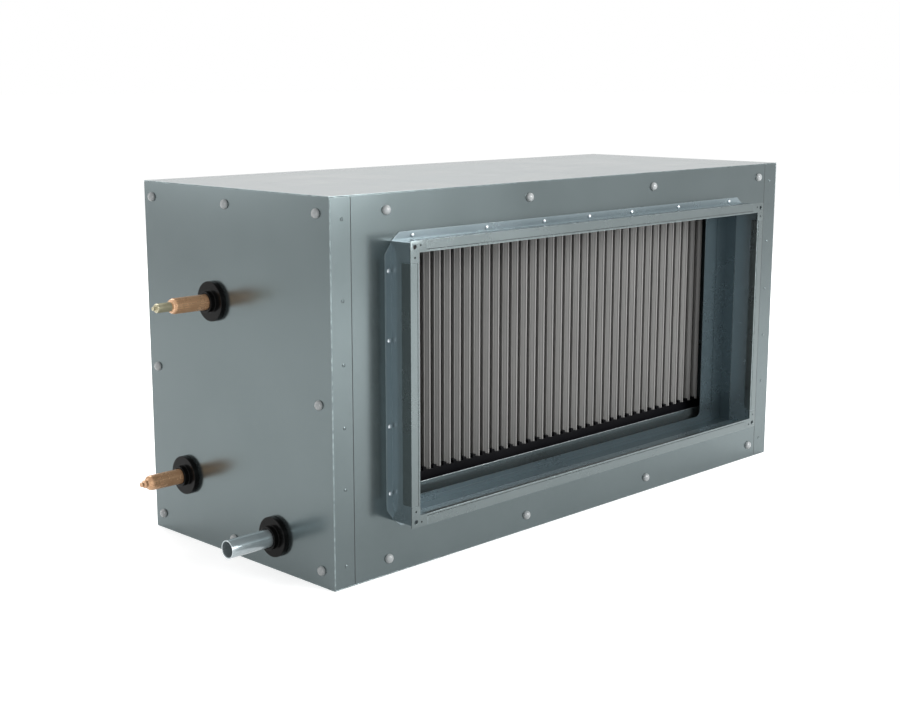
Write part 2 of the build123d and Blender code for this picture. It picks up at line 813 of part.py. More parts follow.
def write_all():
    os.makedirs("parts", exist_ok=True)
    save("bottom_panel", tray_panel(True))
    save("top_panel", tray_panel(False))
    save("pipe_end_panel", pipe_end_panel())
    save("blind_end_panel", other_end(end_panel()))
    save("front_panel", duct_face())
    save("rear_panel", opposite(duct_face()))
    save("post_front_pipe_end", corner_post())
    save("post_front_blind_end", other_end(corner_post()))
    save("post_rear_pipe_end", opposite(corner_post()))
    save("post_rear_blind_end", opposite(other_end(corner_post())))
    save("insulation_bottom", insulation_slab())
    save("insulation_top", mirror(insulation_slab(), about=Plane.XY.offset(casing_height / 2)))
    save("insulation_pipe_end", insulation_pipe_end())
    save("insulation_blind_end", other_end(insulation_end()))
    save("insulation_front", insulation_face())
    save("insulation_rear", opposite(insulation_face()))
    save("front_collar", collar())
    save("rear_collar", opposite(collar()))
    save("front_window_frame", window_frame())
    save("rear_window_frame", opposite(window_frame()))
    long_wall = spigot_wall(wall_half_width + sheet, wall_half_height)
    short_wall = spigot_wall(wall_half_height, wall_half_width)
    walls = {"top": about_duct(long_wall, 0), "bottom": about_duct(long_wall, 180),
             "blind_side": about_duct(short_wall, 90), "pipe_side": about_duct(short_wall, 270)}
    for place, wall in walls.items():
        save(f"front_spigot_{place}", wall)
        save(f"rear_spigot_{place}", opposite(wall))
    save("front_flange_profiles", flange_profiles())
    save("rear_flange_profiles", [opposite(piece) for piece in flange_profiles()])
    save("front_flange_corners", flange_corners())
    save("rear_flange_corners", [opposite(piece) for piece in flange_corners()])
    save("front_panel_screws", face_screws())
    save("rear_panel_screws", [opposite(piece) for piece in face_screws()])
    save("pipe_end_screws", end_screws())
    save("blind_end_screws", [other_end(piece) for piece in end_screws()])
    save("fin_pack", fin_pack())
    save("tube_sheet_pipe_end", tube_sheet())
    save("tube_sheet_blind_end", other_end(tube_sheet()))
    ceiling = casing_height - inner_floor
    save("coil_top_channel", coil_channel(duct_high, ceiling, ceiling, Side.LEFT))
    save("coil_bottom_channel", coil_channel(duct_low, tray_floor(fin_front + sheet),
                                             tray_floor(fin_rear), Side.RIGHT))
    save("hairpin_tubes", hairpin_tubes())
    save("return_bends", return_bends())
    save("liquid_distributor", distributor())
    save("capillary_tubes", capillary_tubes())
    save("liquid_pipe", liquid_pipe())
    save("liquid_cap", liquid_cap())
    save("suction_header", suction_header())
    save("suction_pipe", suction_pipe())
    save("pipe_grommets", pipe_grommets())
    save("drip_tray", drip_tray())
    save("drain_pipe", drain_pipe())
    save("support_rails", support_rails())
    save("eliminator_blades", eliminator_blades())
    save("bottom_comb", bottom_comb())
    save("top_comb", top_comb())
    save("cassette_channels", [side_channel(), other_end(side_channel())])


write_all()
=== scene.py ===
import json
import math

import bmesh
import bpy
from mathutils import Euler, Matrix, Vector


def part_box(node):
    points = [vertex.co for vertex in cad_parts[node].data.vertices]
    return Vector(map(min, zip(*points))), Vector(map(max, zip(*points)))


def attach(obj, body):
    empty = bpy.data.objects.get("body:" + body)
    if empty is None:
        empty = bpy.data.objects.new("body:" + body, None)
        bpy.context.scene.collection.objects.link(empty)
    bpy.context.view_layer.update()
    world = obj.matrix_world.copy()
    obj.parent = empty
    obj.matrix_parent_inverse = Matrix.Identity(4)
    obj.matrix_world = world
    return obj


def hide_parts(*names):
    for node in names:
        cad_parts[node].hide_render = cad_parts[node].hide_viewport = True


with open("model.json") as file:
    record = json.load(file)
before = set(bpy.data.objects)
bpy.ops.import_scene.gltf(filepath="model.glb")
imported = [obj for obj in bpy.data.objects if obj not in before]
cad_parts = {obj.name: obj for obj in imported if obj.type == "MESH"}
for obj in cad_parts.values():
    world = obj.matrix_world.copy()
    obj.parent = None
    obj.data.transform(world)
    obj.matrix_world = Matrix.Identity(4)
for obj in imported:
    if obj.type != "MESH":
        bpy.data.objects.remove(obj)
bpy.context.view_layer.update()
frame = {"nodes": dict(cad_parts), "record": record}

# Direct expansion coil in its duct casing. Sizes are in metres, places are in the CAD frame.
# The duct opening with the droplet eliminator looks out at -Y, the pipes leave the end at -X.

MM = 0.001
DUCT_AXIS_HEIGHT = 337.5
FACE = 261.0
END = 648.0


# Node helpers

def node(tree, kind, values=None, **settings):
    """Add a shader node; a socket among the values is linked, any other value is set."""
    made = tree.nodes.new("ShaderNode" + kind)
    for key, value in settings.items():
        setattr(made, key, value)
    for key, value in (values or {}).items():
        if isinstance(value, bpy.types.NodeSocket):
            tree.links.new(value, made.inputs[key])
        else:
            made.inputs[key].default_value = value
    return made


def new_group(name, inputs, outputs):
    tree = bpy.data.node_groups.new(name, "ShaderNodeTree")
    for label, value in inputs.items():
        socket = tree.interface.new_socket(name=label, in_out="INPUT", socket_type="NodeSocketFloat")
        socket.default_value = value
    for label in outputs:
        tree.interface.new_socket(name=label, in_out="OUTPUT", socket_type="NodeSocketFloat")
    return tree, tree.nodes.new("NodeGroupInput"), tree.nodes.new("NodeGroupOutput")


def place_of(tree, stretch=(1.0, 1.0, 1.0)):
    """The point on the piece, with the pattern stretched along an axis where its factor is low."""
    spot = node(tree, "TexCoord").outputs["Object"]
    return node(tree, "Mapping", {"Vector": spot, "Scale": stretch}).outputs["Vector"]


def noise(tree, vector, scale, detail=3.0, roughness=0.55):
    return node(tree, "TexNoise", {"Vector": vector, "Scale": scale, "Detail": detail,
                                   "Roughness": roughness}).outputs["Fac"]


def math_node(tree, operation, first, second):
    return node(tree, "Math", {0: first, 1: second}, operation=operation).outputs[0]


def spread(tree, value, low, high):
    """Spread the middle of a mask over 0 to 1."""
    return node(tree, "MapRange", {"Value": value, "From Min": low, "From Max": high}).outputs["Result"]


def weighted(tree, parts):
    """The sum of masks, each with its weight."""
    total = 0.0
    for value, weight in parts:
        share = math_node(tree, "MULTIPLY", value, weight)
        total = math_node(tree, "ADD", share, total)
    return total


def give(tree, output, **values):
    for label, value in values.items():
        tree.links.new(value, output.inputs[label])


# Shared surface effects

def galvanised_grain():
    """Zinc spangle, slow clouds and faint rolling lines."""
    tree, given, out = new_group("galvanised grain", {"Spangle": 120.0, "Clouds": 5.0},
                                 ("Tone", "Gloss", "Height"))
    spot = place_of(tree)
    cells = node(tree, "TexVoronoi", {"Vector": spot, "Scale": given.outputs["Spangle"]})
    spangle = node(tree, "SeparateColor", {"Color": cells.outputs["Color"]}).outputs[0]
    clouds = spread(tree, noise(tree, spot, given.outputs["Clouds"]), 0.3, 0.7)
    fine = noise(tree, spot, 700.0)
    lines = noise(tree, place_of(tree, (1.0, 1.0, 0.03)), 260.0)
    give(tree, out, Tone=weighted(tree, ((spangle, 0.2), (clouds, 0.6), (lines, 0.2))),
         Gloss=weighted(tree, ((spangle, 0.1), (clouds, 0.75), (fine, 0.15))),
         Height=weighted(tree, ((lines, 0.4), (fine, 0.6))))
    return tree


def drawn_grain():
    """Fine lines along a drawn tube, with stains across them."""
    tree, given, out = new_group("drawn tube grain", {"Lines": 500.0, "Stains": 22.0},
                                 ("Tone", "Gloss", "Height"))
    lines = noise(tree, place_of(tree, (0.02, 1.0, 1.0)), given.outputs["Lines"])
    stains = spread(tree, noise(tree, place_of(tree), given.outputs["Stains"], 5.0, 0.65), 0.3, 0.72)
    give(tree, out, Tone=weighted(tree, ((stains, 0.75), (lines, 0.25))),
         Gloss=weighted(tree, ((stains, 0.6), (lines, 0.4))), Height=lines)
    return tree


def moulded_grain():
    """The fine texture and slow flow marks of a moulding."""
    tree, given, out = new_group("moulded grain", {"Texture": 900.0, "Flow": 9.0},
                                 ("Tone", "Gloss", "Height"))
    texture = noise(tree, place_of(tree), given.outputs["Texture"])
    flow = spread(tree, noise(tree, place_of(tree), given.outputs["Flow"]), 0.3, 0.7)
    give(tree, out, Tone=weighted(tree, ((flow, 0.7), (texture, 0.3))),
         Gloss=weighted(tree, ((flow, 0.5), (texture, 0.5))), Height=texture)
    return tree


def extruded_grain():
    """Upright die lines on an extruded blade, with a faint bloom."""
    tree, given, out = new_group("extruded grain", {"Lines": 900.0, "Bloom": 14.0},
                                 ("Tone", "Gloss", "Height"))
    lines = noise(tree, place_of(tree, (1.0, 1.0, 0.01)), given.outputs["Lines"])
    bloom = spread(tree, noise(tree, place_of(tree, (1.0, 1.0, 0.3)), given.outputs["Bloom"]), 0.3, 0.7)
    give(tree, out, Tone=weighted(tree, ((bloom, 0.6), (lines, 0.4))),
         Gloss=weighted(tree, ((bloom, 0.5), (lines, 0.5))), Height=lines)
    return tree


def fibre_grain():
    """Matted fibres of the insulation."""
    tree, given, out = new_group("fibre grain", {"Fibres": 240.0, "Lumps": 30.0},
                                 ("Tone", "Gloss", "Height"))
    along = noise(tree, place_of(tree, (0.15, 1.0, 1.0)), given.outputs["Fibres"], 6.0)
    across = noise(tree, place_of(tree, (1.0, 0.15, 1.0)), given.outputs["Fibres"], 6.0)
    lumps = noise(tree, place_of(tree), given.outputs["Lumps"])
    fibres = weighted(tree, ((along, 0.5), (across, 0.5)))
    give(tree, out, Tone=weighted(tree, ((fibres, 0.7), (lumps, 0.3))), Gloss=lumps, Height=fibres)
    return tree


def edge_wear_and_shade():
    """Where a bent or cut edge is rubbed bright, broken up by a noise; with a dark colour it is painted shade
    along the edges.
    """
    tree, given, out = new_group("edge wear", {"Edge": 0.0, "Break up": 120.0}, ("Mask",))
    patchy = spread(tree, noise(tree, place_of(tree), given.outputs["Break up"], 4.0), 0.25, 0.6)
    give(tree, out, Mask=math_node(tree, "MULTIPLY", given.outputs["Edge"], patchy))
    return tree


def settled_dust():
    """A thin film on what faces up."""
    tree, given, out = new_group("settled dust", {"Patches": 12.0}, ("Mask",))
    normal = node(tree, "NewGeometry").outputs["Normal"]
    up = node(tree, "SeparateXYZ", {"Vector": normal}).outputs["Z"]
    upward = spread(tree, up, 0.6, 1.0)
    patches = spread(tree, noise(tree, place_of(tree), given.outputs["Patches"], 5.0), 0.3, 0.75)
    give(tree, out, Mask=math_node(tree, "MULTIPLY", upward, patches))
    return tree


GRAINS = {"galvanised": galvanised_grain(), "drawn": drawn_grain(), "moulded": moulded_grain(),
          "extruded": extruded_grain(), "fibre": fibre_grain()}
EDGE_WEAR_AND_SHADE = edge_wear_and_shade()
DUST = settled_dust()


def blend_colours(tree, factor, first, second):
    mix = node(tree, "Mix", {"Factor": factor}, data_type="RGBA")
    for socket, value in ((mix.inputs[6], first), (mix.inputs[7], second)):
        if isinstance(value, bpy.types.NodeSocket):
            tree.links.new(value, socket)
        else:
            socket.default_value = (*value, 1.0)
    return mix.outputs[2]


def finish(name, grain, dark, light, rough, bump, metallic=0.0, wear_and_shade=None, dust=0.0, sizes=None,
           specular=0.5):
    """A material: two tones, a range of roughness and a bump from one grain, edge wear and dust; a dark edge
    colour gives painted shade along the edges instead of wear.
    """
    material = bpy.data.materials.new(name)
    material.use_nodes = True
    tree = material.node_tree
    tree.nodes.clear()
    pattern = node(tree, "Group", node_tree=GRAINS[grain])
    for label, value in (sizes or {}).items():
        pattern.inputs[label].default_value = value
    colour = blend_colours(tree, pattern.outputs["Tone"], dark, light)
    roughness = node(tree, "MapRange", {"Value": pattern.outputs["Gloss"], "To Min": rough[0],
                                        "To Max": rough[1]}).outputs["Result"]
    # With a dark edge colour, as on the inner sheets, this blend is painted shade along the edges rather than
    # wear.
    if wear_and_shade:
        edge = node(tree, "Attribute", attribute_name="edge").outputs["Fac"]
        worn_and_shaded = node(tree, "Group", node_tree=EDGE_WEAR_AND_SHADE)
        tree.links.new(edge, worn_and_shaded.inputs["Edge"])
        colour = blend_colours(tree, worn_and_shaded.outputs["Mask"], colour, wear_and_shade)
    if dust:
        film = node(tree, "Group", node_tree=DUST)
        amount = math_node(tree, "MULTIPLY", film.outputs["Mask"], dust)
        colour = blend_colours(tree, amount, colour, (0.55, 0.54, 0.52))
        roughness = math_node(tree, "ADD", roughness, amount)
    relief = node(tree, "Bump", {"Height": pattern.outputs["Height"], "Strength": bump[0],
                                 "Distance": bump[1]})
    shader = node(tree, "BsdfPrincipled", {"Base Color": colour, "Roughness": roughness,
                                           "Metallic": metallic, "Specular IOR Level": specular,
                                           "Normal": relief.outputs["Normal"]})
    output = node(tree, "OutputMaterial")
    tree.links.new(shader.outputs["BSDF"], output.inputs["Surface"])
    return material


ZINC_EDGE = (0.34, 0.41, 0.42)
BRIGHT_EDGE = (0.62, 0.67, 0.69)
FINE = (0.03, 0.0002)

# Dark edge colour for the inner sheets: painted shade along their folds and joints.
INNER_EDGE_PAINTED_SHADE = (0.045, 0.058, 0.063)

MATERIALS = {
    "casing_sheet": finish("galvanised casing", "galvanised", (0.119, 0.146, 0.150), (0.137, 0.166, 0.171),
                           (0.19, 0.25), FINE, 0.88, ZINC_EDGE, 0.03),
    # The inner sheet is the galvanised sheet in a darker tone: painted shade for the inside of the duct.
    "inner_sheet": finish("galvanised inner sheet in painted shade", "galvanised", (0.105, 0.140, 0.156),
                          (0.120, 0.158, 0.174), (0.24, 0.32), FINE, 0.80, INNER_EDGE_PAINTED_SHADE, 0.02),
    "spigot_sheet": finish("galvanised spigot", "galvanised", (0.215, 0.268, 0.290), (0.240, 0.295, 0.318),
                           (0.22, 0.30), FINE, 0.72, ZINC_EDGE, 0.02),
    "duct_flange": finish("rolled flange", "galvanised", (0.135, 0.162, 0.165), (0.153, 0.181, 0.184),
                          (0.24, 0.32), FINE, 0.80, ZINC_EDGE, 0.02, {"Spangle": 160.0}),
    "insulation_mat": finish("insulation mat", "fibre", (0.10, 0.09, 0.07), (0.30, 0.27, 0.22),
                             (0.85, 1.0), (0.8, 0.002)),
    "screw_caps": finish("cap plastic", "moulded", (0.29, 0.31, 0.315), (0.34, 0.36, 0.365),
                         (0.14, 0.22), (0.05, 0.0002), 0.0, None, 0.0, None, 0.7),
    "fins": finish("fin aluminium", "extruded", (0.52, 0.55, 0.57), (0.72, 0.75, 0.77),
                   (0.25, 0.40), (0.05, 0.0002), 1.0, BRIGHT_EDGE),
    "copper": finish("drawn copper", "drawn", (0.46, 0.250, 0.125), (0.68, 0.420, 0.245),
                     (0.22, 0.32), (0.04, 0.0001), 0.45, (0.80, 0.52, 0.34)),
    "brass_fitting": finish("turned brass", "drawn", (0.34, 0.310, 0.195), (0.48, 0.445, 0.310),
                            (0.20, 0.30), (0.04, 0.0001), 0.55, (0.66, 0.60, 0.42)),
    "grommet_rubber": finish("moulded rubber", "moulded", (0.002, 0.002, 0.002), (0.005, 0.005, 0.005),
                             (0.16, 0.24), (0.06, 0.0003), 0.0, None, 0.0, None, 0.09),
    "tray_steel": finish("tray steel", "galvanised", (0.19, 0.235, 0.245), (0.22, 0.265, 0.275),
                         (0.20, 0.28), FINE, 0.88, BRIGHT_EDGE, 0.02, {"Spangle": 200.0}),
    "drain_steel": finish("drain tube", "drawn", (0.36, 0.42, 0.44), (0.50, 0.56, 0.58),
                          (0.14, 0.22), (0.04, 0.0001), 0.62, BRIGHT_EDGE),
    "blade_plastic": finish("blade plastic", "extruded", (0.205, 0.203, 0.198), (0.250, 0.247, 0.241),
                            (0.30, 0.42), (0.05, 0.0003)),
    "comb_plastic": finish("comb plastic", "moulded", (0.002, 0.002, 0.003), (0.004, 0.004, 0.005),
                           (0.35, 0.48), (0.08, 0.0003), 0.0, None, 0.0, None, 0.08),
    "rivet": finish("rivet metal", "drawn", (0.50, 0.55, 0.58), (0.66, 0.71, 0.74),
                    (0.18, 0.28), (0.03, 0.0001), 0.8, BRIGHT_EDGE),
    # A dark material for painted shade in joints and grooves.
    "painted_crevice_shade": finish("painted crevice shade", "moulded", (0.020, 0.024, 0.025), (0.034, 0.038, 0.039),
                         (0.5, 0.7), (0.05, 0.0002), 0.0, None, 0.0, None, 0.2),
}

for entry in frame["record"]["subparts"]:
    shape = frame["nodes"][entry["node"]].data
    shape.materials.clear()
    shape.materials.append(MATERIALS[entry["material_slot"]])


# Mesh helpers

SHARP = math.radians(32.0)


def soften(bm, width, segments=2, angle=SHARP, edges=None, clamp=True):
    """Round the sharp edges and note where they were, for the edge wear of the finish and the painted shade
    along dark edges.
    """
    mark = bm.faces.layers.float.get("edge") or bm.faces.layers.float.new("edge")
    if edges is None:
        edges = [e for e in bm.edges if len(e.link_faces) == 2 and e.calc_face_angle(0.0) > angle]
    made = bmesh.ops.bevel(bm, geom=edges, offset=width * MM, offset_type="OFFSET", affect="EDGES",
                           segments=segments, profile=0.5, material=-1, clamp_overlap=clamp)
    for face in made["faces"]:
        face[mark] = 1.0


def piece(bm, name, slot, replaces=(), material=None):
    """Turn a bmesh into a piece of the object, smooth apart from its sharp edges."""
    for edge in bm.edges:
        edge.smooth = edge.calc_face_angle(0.0) < SHARP
    for face in bm.faces:
        face.smooth = True
    mesh = bpy.data.meshes.new(name)
    bm.to_mesh(mesh)
    bm.free()
    mesh.materials.append(MATERIALS[material or slot])
    made = bpy.data.objects.new(name, mesh)
    bpy.context.scene.collection.objects.link(made)
    flat = made.modifiers.new("flat faces", "WEIGHTED_NORMAL")
    flat.mode = "FACE_AREA"
    flat.weight = 90
    flat.keep_sharp = True
    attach(made, "root")
    if replaces:
        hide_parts(*replaces)
    return made


def narrow(face):
    """A face no wider than the sheet is thick, such as a cut edge."""
    return face.calc_area() / max(edge.calc_length() for edge in face.edges) < 2.2 * MM


def fold_edges(bm):
    """The outer edges of folds: sharp, convex and between two wide faces."""
    return [edge for edge in bm.edges if len(edge.link_faces) == 2 and edge.is_convex
            and edge.calc_face_angle(0.0) > SHARP and not any(narrow(face) for face in edge.link_faces)]


def dressed(name, slot, cut=0.35, fold=0.0, clamp=True):
    """Stand in for a sheet-metal CAD node with the same shape, rounded folds and eased cut edges."""
    bm = bmesh.new()
    bm.from_mesh(frame["nodes"][name].data)
    bmesh.ops.remove_doubles(bm, verts=bm.verts, dist=0.01 * MM)
    bmesh.ops.dissolve_limit(bm, angle_limit=math.radians(1.0), use_dissolve_boundaries=False,
                             verts=bm.verts, edges=bm.edges)
    if fold:
        soften(bm, fold, 3, edges=fold_edges(bm), clamp=clamp)
    soften(bm, cut, 2, angle=math.radians(50.0))
    return piece(bm, name + "_sheet", slot, (name,))


def turned(points, steps=40, width=0.0, segments=3):
    """A turned shape about +Z from (radius, height) points in millimetres, as a mesh to stamp."""
    bm = bmesh.new()
    corners = [bm.verts.new((radius * MM, 0.0, height * MM)) for radius, height in points]
    line = [bm.edges.new(pair) for pair in zip(corners, corners[1:])]
    bmesh.ops.spin(bm, geom=corners + line, cent=(0, 0, 0), axis=(0, 0, 1), angle=math.tau,
                   steps=steps, use_merge=True, use_duplicate=False)
    bmesh.ops.remove_doubles(bm, verts=bm.verts, dist=0.002 * MM)
    bmesh.ops.holes_fill(bm, edges=bm.edges, sides=0)
    bmesh.ops.recalc_face_normals(bm, faces=bm.faces)
    if width:
        soften(bm, width, segments)
    mesh = bpy.data.meshes.new("turned shape")
    bm.to_mesh(mesh)
    bm.free()
    return mesh


def stamp(bm, mesh, matrix):
    """Add a copy of a mesh at a place."""
    before = len(bm.verts)
    bm.from_mesh(mesh)
    bm.verts.ensure_lookup_table()
    bmesh.ops.transform(bm, matrix=matrix, verts=bm.verts[before:])


def stood(x, y, z, towards):
    """The place of a shape that stands on a face, with the face's outward axis named."""
    turn = {"-Y": (math.pi / 2, 0, 0), "+Y": (-math.pi / 2, 0, 0),
            "-X": (0, -math.pi / 2, 0), "+X": (0, math.pi / 2, 0), "+Z": (0, 0, 0)}[towards]
    return Matrix.Translation(Vector((x, y, z)) * MM) @ Euler(turn).to_matrix().to_4x4()


def stamped(name, mesh, places, slot, replaces=(), material=None):
    bm = bmesh.new()
    for matrix in places:
        stamp(bm, mesh, matrix)
    return piece(bm, name, slot, replaces, material)


# Casing, collars, spigots and trays keep the CAD shape and get rounded edges

GROOVE_DEPTH = 0.8


def shade_grooves(profiles):
    """The floor of the rolled groove is made dark: painted shade of the recess, together with dirt."""
    mesh = profiles.data
    mesh.materials.append(MATERIALS["painted_crevice_shade"])
    face_y = max(abs(corner.co.y) for corner in mesh.vertices)
    for face in mesh.polygons:
        sunk = face_y - abs(face.center.y)
        if abs(face.normal.y) > 0.9 and 0.5 * GROOVE_DEPTH * MM < sunk < 1.3 * GROOVE_DEPTH * MM:
            # Painted shade: the groove floor takes the dark crevice material.
            face.material_index = 1


for name in ("bottom_panel", "top_panel", "pipe_end_panel", "blind_end_panel"):
    dressed(name, "casing_sheet", 0.45, 1.5, clamp=False)
for name in ("post_front_pipe_end", "post_front_blind_end", "post_rear_pipe_end", "post_rear_blind_end"):
    dressed(name, "casing_sheet", 0.3, 0.7, clamp=False)
for name in ("front_panel", "rear_panel"):
    dressed(name, "casing_sheet", 0.45, 1.5)
for end in ("front", "rear"):
    dressed(f"{end}_collar", "inner_sheet", 0.3, 1.0)
    dressed(f"{end}_window_frame", "inner_sheet", 0.4)
    profiles = dressed(f"{end}_flange_profiles", "duct_flange", 0.2, 0.6)
    shade_grooves(profiles)
    for side in ("top", "bottom", "blind_side", "pipe_side"):
        dressed(f"{end}_spigot_{side}", "spigot_sheet", 0.3, 1.0)
dressed("drip_tray", "tray_steel", 0.4, 1.0)
dressed("bottom_comb", "comb_plastic", 0.6)
dressed("top_comb", "comb_plastic", 0.6)
dressed("cassette_channels", "inner_sheet", 0.3, 0.8)


# Dark seal-like beads in the joints between the posts and the face panels: painted shadow of the joint gaps

SEAM = 603.0
SEAL_SHADOW_RADIUS = 1.5
SEAL_SHADOW_DEPTH = 1.25


def joint_seal_shadows():
    """A round dark bead pressed into each upright joint, that just shows above the face: painted shadow of the
    gap, shaped like a seal.
    """
    bm = bmesh.new()
    for x in (-SEAM, SEAM):
        for y in (-FACE + SEAL_SHADOW_DEPTH, FACE - SEAL_SHADOW_DEPTH):
            ring = bmesh.ops.create_circle(bm, cap_ends=True, segments=10, radius=SEAL_SHADOW_RADIUS * MM)["verts"]
            bmesh.ops.translate(bm, vec=(x * MM, y * MM, 3.0 * MM), verts=ring)
            raised = bmesh.ops.extrude_face_region(bm, geom=ring[0].link_faces[:])["geom"]
            tops = [item for item in raised if isinstance(item, bmesh.types.BMVert)]
            bmesh.ops.translate(bm, vec=(0, 0, 654.0 * MM), verts=tops)
    bmesh.ops.recalc_face_normals(bm, faces=bm.faces)
    # The beads are dark so that they paint the shadow in each joint.
    piece(bm, "joint_seal_shadows", "grommet_rubber", material="painted_crevice_shade")


joint_seal_shadows()


# Flange corner pieces, with their small fixing holes

def flange_corners(end, side):
    name = f"{end}_flange_corners"
    made = dressed(name, "duct_flange", 0.3, 0.8)
    cutter = bmesh.new()
    pin = turned(((1.75, -4.0), (1.75, 4.0)), 16)
    for x, z in ((497, 237), (510, 217)):
        for right in (-1, 1):
            for up in (-1, 1):
                stamp(cutter, pin, stood(right * x, side * 314, DUCT_AXIS_HEIGHT + up * z, "+Y"))
    cut = bpy.data.meshes.new("fixing holes")
    cutter.to_mesh(cut)
    cutter.free()
    tool = bpy.data.objects.new("fixing_holes", cut)
    bpy.context.scene.collection.objects.link(tool)
    boolean = made.modifiers.new("fixing holes", "BOOLEAN")
    boolean.operation = "DIFFERENCE"
    boolean.solver = "EXACT"
    boolean.object = tool
    bpy.context.view_layer.update()
    shape = bpy.data.meshes.new_from_object(made.evaluated_get(bpy.context.evaluated_depsgraph_get()))
    made.modifiers.remove(boolean)
    bm = bmesh.new()
    bm.from_mesh(shape)
    bmesh.ops.dissolve_degenerate(bm, dist=0.01 * MM, edges=bm.edges)
    bm.to_mesh(shape)
    bm.free()
    made.data = shape
    bpy.data.objects.remove(tool)


flange_corners("front", -1)
flange_corners("rear", 1)


# Screw caps and rivets

DOME = turned(((8.5, 0.0), (8.5, 1.3), (8.1, 2.9), (7.2, 4.4), (5.7, 5.7), (3.6, 6.6), (1.4, 6.97),
               (0.0, 7.0)), 28)
RIVET = turned(((3.4, 0.0), (4.2, 0.6), (4.0, 1.5), (2.9, 2.4), (1.4, 2.9), (0.0, 3.0)), 18)
FLUSH_RIVET = turned(((3.2, 0.0), (3.0, 0.6), (2.0, 1.0), (1.3, 0.5), (0.0, 0.5)), 16)

cap_columns = (-525.0, -170.0, 201.0, 578.0)
cap_rows = (29.0, 631.0)
end_cap_places = [(y, z) for y in (-228.0, 16.0, 237.0) for z in cap_rows]
end_cap_places += [(y, 315.0) for y in (-228.0, 237.0)]

for end, side, towards in (("front", -1, "-Y"), ("rear", 1, "+Y")):
    stamped(f"{end}_caps", DOME, [stood(x, side * FACE, z, towards) for x in cap_columns for z in cap_rows],
            "screw_caps", (f"{end}_panel_screws",))
for name, side, towards in (("pipe_end", -1, "-X"), ("blind_end", 1, "+X")):
    stamped(f"{name}_caps", DOME, [stood(side * END, y, z, towards) for y, z in end_cap_places],
            "screw_caps", (f"{name}_screws",))


def post_rivets(side, towards):
    heights = (38, 171, 277, 383, 489, 622)
    return [stood(x, side * FACE, z, towards) for x in (-622, 622) for z in heights]


def lip_rivets(side, towards):
    lip = side * (FACE + 1.5)
    columns = [right * share * 467 for share in (0.28, 0.61, 1.0) for right in (-1, 1)] + [0.0]
    places = [stood(x, lip, DUCT_AXIS_HEIGHT + up * 247.5, towards) for x in columns for up in (-1, 1)]
    places += [stood(right * 522.5, lip, DUCT_AXIS_HEIGHT + z, towards)
               for right in (-1, 1) for z in (-192, -74, 74, 192)]
    return places


for end, side, towards in (("front", -1, "-Y"), ("rear", 1, "+Y")):
    stamped(f"{end}_post_rivets", FLUSH_RIVET, post_rivets(side, towards), "casing_sheet")
    stamped(f"{end}_lip_rivets", RIVET, lip_rivets(side, towards), "duct_flange", material="rivet")


# Pipes and grommets

LIQUID = (56.0, 458.0)
SUCTION = (154.0, 122.0)
DRAIN = (-105.0, 62.0)


def along_end(name, points, centre, slot, replaces=(), width=1.0, segments=4, steps=56):
    """A turned piece that leaves the pipe end; each point is (radius, distance from the end panel)."""
    stamped(name, turned(points, steps, width, segments), [stood(-END, *centre, "-X")], slot, replaces)


def grommet(name, pipe_radius, centre, replaces=()):
    neck = pipe_radius + 5.0
    bore = pipe_radius + 0.3
    points = ((bore, 0.2), (35.8, 0.2), (35.8, 9.8), (neck, 9.8), (neck, 19.8), (bore, 19.8), (bore, 0.2))
    along_end(name, points, centre, "grommet_rubber", replaces, 1.1, 4)


grommet("liquid_grommet", 14.0, LIQUID, ("pipe_grommets",))
grommet("suction_grommet", 14.0, SUCTION)
grommet("drain_grommet", 16.0, DRAIN)

along_end("liquid_stub", ((0.0, -20.0), (14.0, -20.0), (14.0, 84.0), (13.3, 87.5), (11.6, 90.6), (9.0, 92.0),
                          (0.0, 92.0)), LIQUID, "copper", ("liquid_pipe",), 0.8)
along_end("liquid_brass", ((0.0, 90.0), (8.3, 90.0), (8.3, 119.0), (7.0, 121.5), (3.25, 121.5),
                           (3.25, 127.2), (2.6, 128.0), (0.0, 128.0)), LIQUID, "brass_fitting",
          ("liquid_cap",), 0.5, 3)
along_end("suction_stub", ((0.0, -20.0), (14.0, -20.0), (14.0, 81.0), (12.9, 85.2), (10.2, 88.4), (7.5, 89.5),
                           (7.5, 95.2), (6.6, 96.2), (4.75, 96.6), (4.75, 101.6), (3.9, 102.5),
                           (0.0, 102.5)), SUCTION, "copper", ("suction_pipe",), 0.6)
along_end("drain_tube", ((14.0, -35.0), (16.0, -35.0), (16.0, 104.6), (14.0, 104.6), (14.0, -35.0)), DRAIN,
          "drain_steel", ("drain_pipe",), 0.6, 3)


# Droplet eliminator blades: a smooth wave with a nose bead and two drip hooks

BLADE_PITCH = 26.0
BLADE_COUNT = 38
BLADE_FRONT = -186.0
BLADE_DEPTH = 48.0
BLADE_LOW = 141.0
BLADE_HIGH = 562.5
NOSE = 2.3


def upright(bm, points, thickness):
    """Stand a line of (x, y) points up as a strip of the blade's height and give it a thickness."""
    row = [bm.verts.new((x * MM, y * MM, BLADE_LOW * MM)) for x, y in points]
    line = [bm.edges.new(pair) for pair in zip(row, row[1:])]
    lifted = bmesh.ops.extrude_edge_only(bm, edges=line)["geom"]
    tops = [item for item in lifted if isinstance(item, bmesh.types.BMVert)]
    bmesh.ops.translate(bm, vec=(0, 0, (BLADE_HIGH - BLADE_LOW) * MM), verts=tops)
    strip = [item for item in lifted if isinstance(item, bmesh.types.BMFace)]
    bmesh.ops.recalc_face_normals(bm, faces=strip)
    bmesh.ops.solidify(bm, geom=strip, thickness=thickness * MM)


def drip_hook(side, crest_y):
    """The line of a hook that leaves a crest of the wave and turns back towards the front."""
    return [(side * x, crest_y + y) for x, y in ((6.2, 1.2), (8.9, -0.6), (10.2, -3.4), (10.3, -6.8))]


